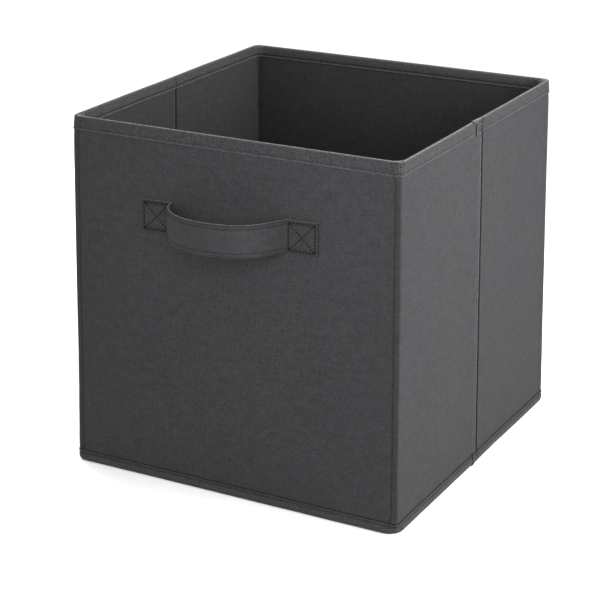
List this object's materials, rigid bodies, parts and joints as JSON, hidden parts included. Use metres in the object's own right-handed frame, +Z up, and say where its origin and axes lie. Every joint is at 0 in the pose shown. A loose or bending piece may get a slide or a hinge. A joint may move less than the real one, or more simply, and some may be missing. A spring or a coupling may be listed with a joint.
{
  "type": "fabric storage bin",
  "caption": "Open cube-shaped collapsible fabric bin with board-stiffened walls, bound edges, creased side walls, a hinged base board and a bowed strap handle on the front.",
  "frame": {"origin": "middle of the underside, on the surface that the bin stands on", "axes": "+Z up out of the open top, -Y towards the wall with the handle, +X to the right seen from there"},
  "size_m": [0.27, 0.3022, 0.27],
  "materials": {
    "cover_fabric": "matt non-woven, embossed",
    "lining_fabric": "matt non-woven, embossed",
    "binding_tape": "matt non-woven, embossed",
    "strap_fabric": "matt non-woven, folded in three",
    "base_cover_fabric": "matt non-woven, embossed",
    "bottom_fabric": "matt non-woven, embossed",
    "greyboard": "uncoated grey board",
    "thread": "polyester sewing thread"
  },
  "bodies": {
    "front_wall": {"front_outer_cover": "cover_fabric", "front_lining": "lining_fabric", "front_board": "greyboard", "front_rim_tape": "binding_tape", "front_foot_tape": "binding_tape", "handle_end_left": "strap_fabric", "handle_end_right": "strap_fabric", "handle_stitches_left": "thread", "handle_stitches_right": "thread", "handle_root_left": "strap_fabric", "handle_root_right": "strap_fabric", "bottom_sheet": "bottom_fabric"},
    "left_front_panel": {"left_front_outer_cover": "cover_fabric", "left_front_lining": "lining_fabric", "left_front_board": "greyboard", "left_front_rim_tape": "binding_tape", "left_front_foot_tape": "binding_tape"},
    "left_rear_panel": {"left_rear_outer_cover": "cover_fabric", "left_rear_lining": "lining_fabric", "left_rear_board": "greyboard", "left_rear_rim_tape": "binding_tape", "left_rear_foot_tape": "binding_tape"},
    "rear_wall": {"rear_outer_cover": "cover_fabric", "rear_lining": "lining_fabric", "rear_board": "greyboard", "rear_rim_tape": "binding_tape", "rear_foot_tape": "binding_tape"},
    "right_front_panel": {"right_front_outer_cover": "cover_fabric", "right_front_lining": "lining_fabric", "right_front_board": "greyboard", "right_front_rim_tape": "binding_tape", "right_front_foot_tape": "binding_tape"},
    "right_rear_panel": {"right_rear_outer_cover": "cover_fabric", "right_rear_lining": "lining_fabric", "right_rear_board": "greyboard", "right_rear_rim_tape": "binding_tape", "right_rear_foot_tape": "binding_tape"},
    "base_flap": {"base_board": "greyboard", "base_cover": "base_cover_fabric", "base_cover_underside": "base_cover_fabric"},
    "handle": {"handle_loop": "strap_fabric"}
  },
  "joints": [
    {"name": "wall_fold", "type": "hinge", "parent": "front_wall", "child": "left_front_panel", "pos_m": [-0.1308, -0.126, 0.135], "axis": [0, 0, -1], "range_deg": [0, 88], "deforming": ["left_front_foot_tape", "bottom_sheet"]},
    {"name": "left_crease_fold", "type": "hinge", "parent": "left_front_panel", "child": "left_rear_panel", "pos_m": [-0.1351, 0, 0.135], "axis": [0, 0, 1], "range_deg": [0, 176], "deforming": ["left_rear_foot_tape"]},
    {"name": "left_rear_corner_fold", "type": "hinge", "parent": "left_rear_panel", "child": "rear_wall", "pos_m": [-0.1308, 0.126, 0.135], "axis": [0, 0, -1], "range_deg": [0, 88], "deforming": ["rear_foot_tape"]},
    {"name": "right_front_corner_fold", "type": "hinge", "parent": "front_wall", "child": "right_front_panel", "pos_m": [0.1308, -0.126, 0.135], "axis": [0, 0, 1], "range_deg": [0, 88], "deforming": ["right_front_foot_tape"]},
    {"name": "right_crease_fold", "type": "hinge", "parent": "right_front_panel", "child": "right_rear_panel", "pos_m": [0.1351, 0, 0.135], "axis": [0, 0, -1], "range_deg": [0, 176], "deforming": ["right_rear_foot_tape"]},
    {"name": "base_flap_hinge", "type": "hinge", "parent": "front_wall", "child": "base_flap", "pos_m": [0, -0.1302, 0.0039], "axis": [1, 0, 0], "range_deg": [0, 90]},
    {"name": "handle_swing", "type": "hinge", "parent": "front_wall", "child": "handle", "pos_m": [-0.001, -0.1344, 0.2055], "axis": [1, 0, 0], "range_deg": [-40, 40], "stiffness_Nm_per_rad": 0.02, "deforming": ["handle_root_left", "handle_root_right"]}
  ],
  "couplings": [
    {"joint": "left_crease_fold", "follows": "wall_fold", "ratio": 2},
    {"joint": "left_rear_corner_fold", "follows": "wall_fold", "ratio": 1},
    {"joint": "right_front_corner_fold", "follows": "wall_fold", "ratio": 1},
    {"joint": "right_crease_fold", "follows": "wall_fold", "ratio": 2}
  ]
}
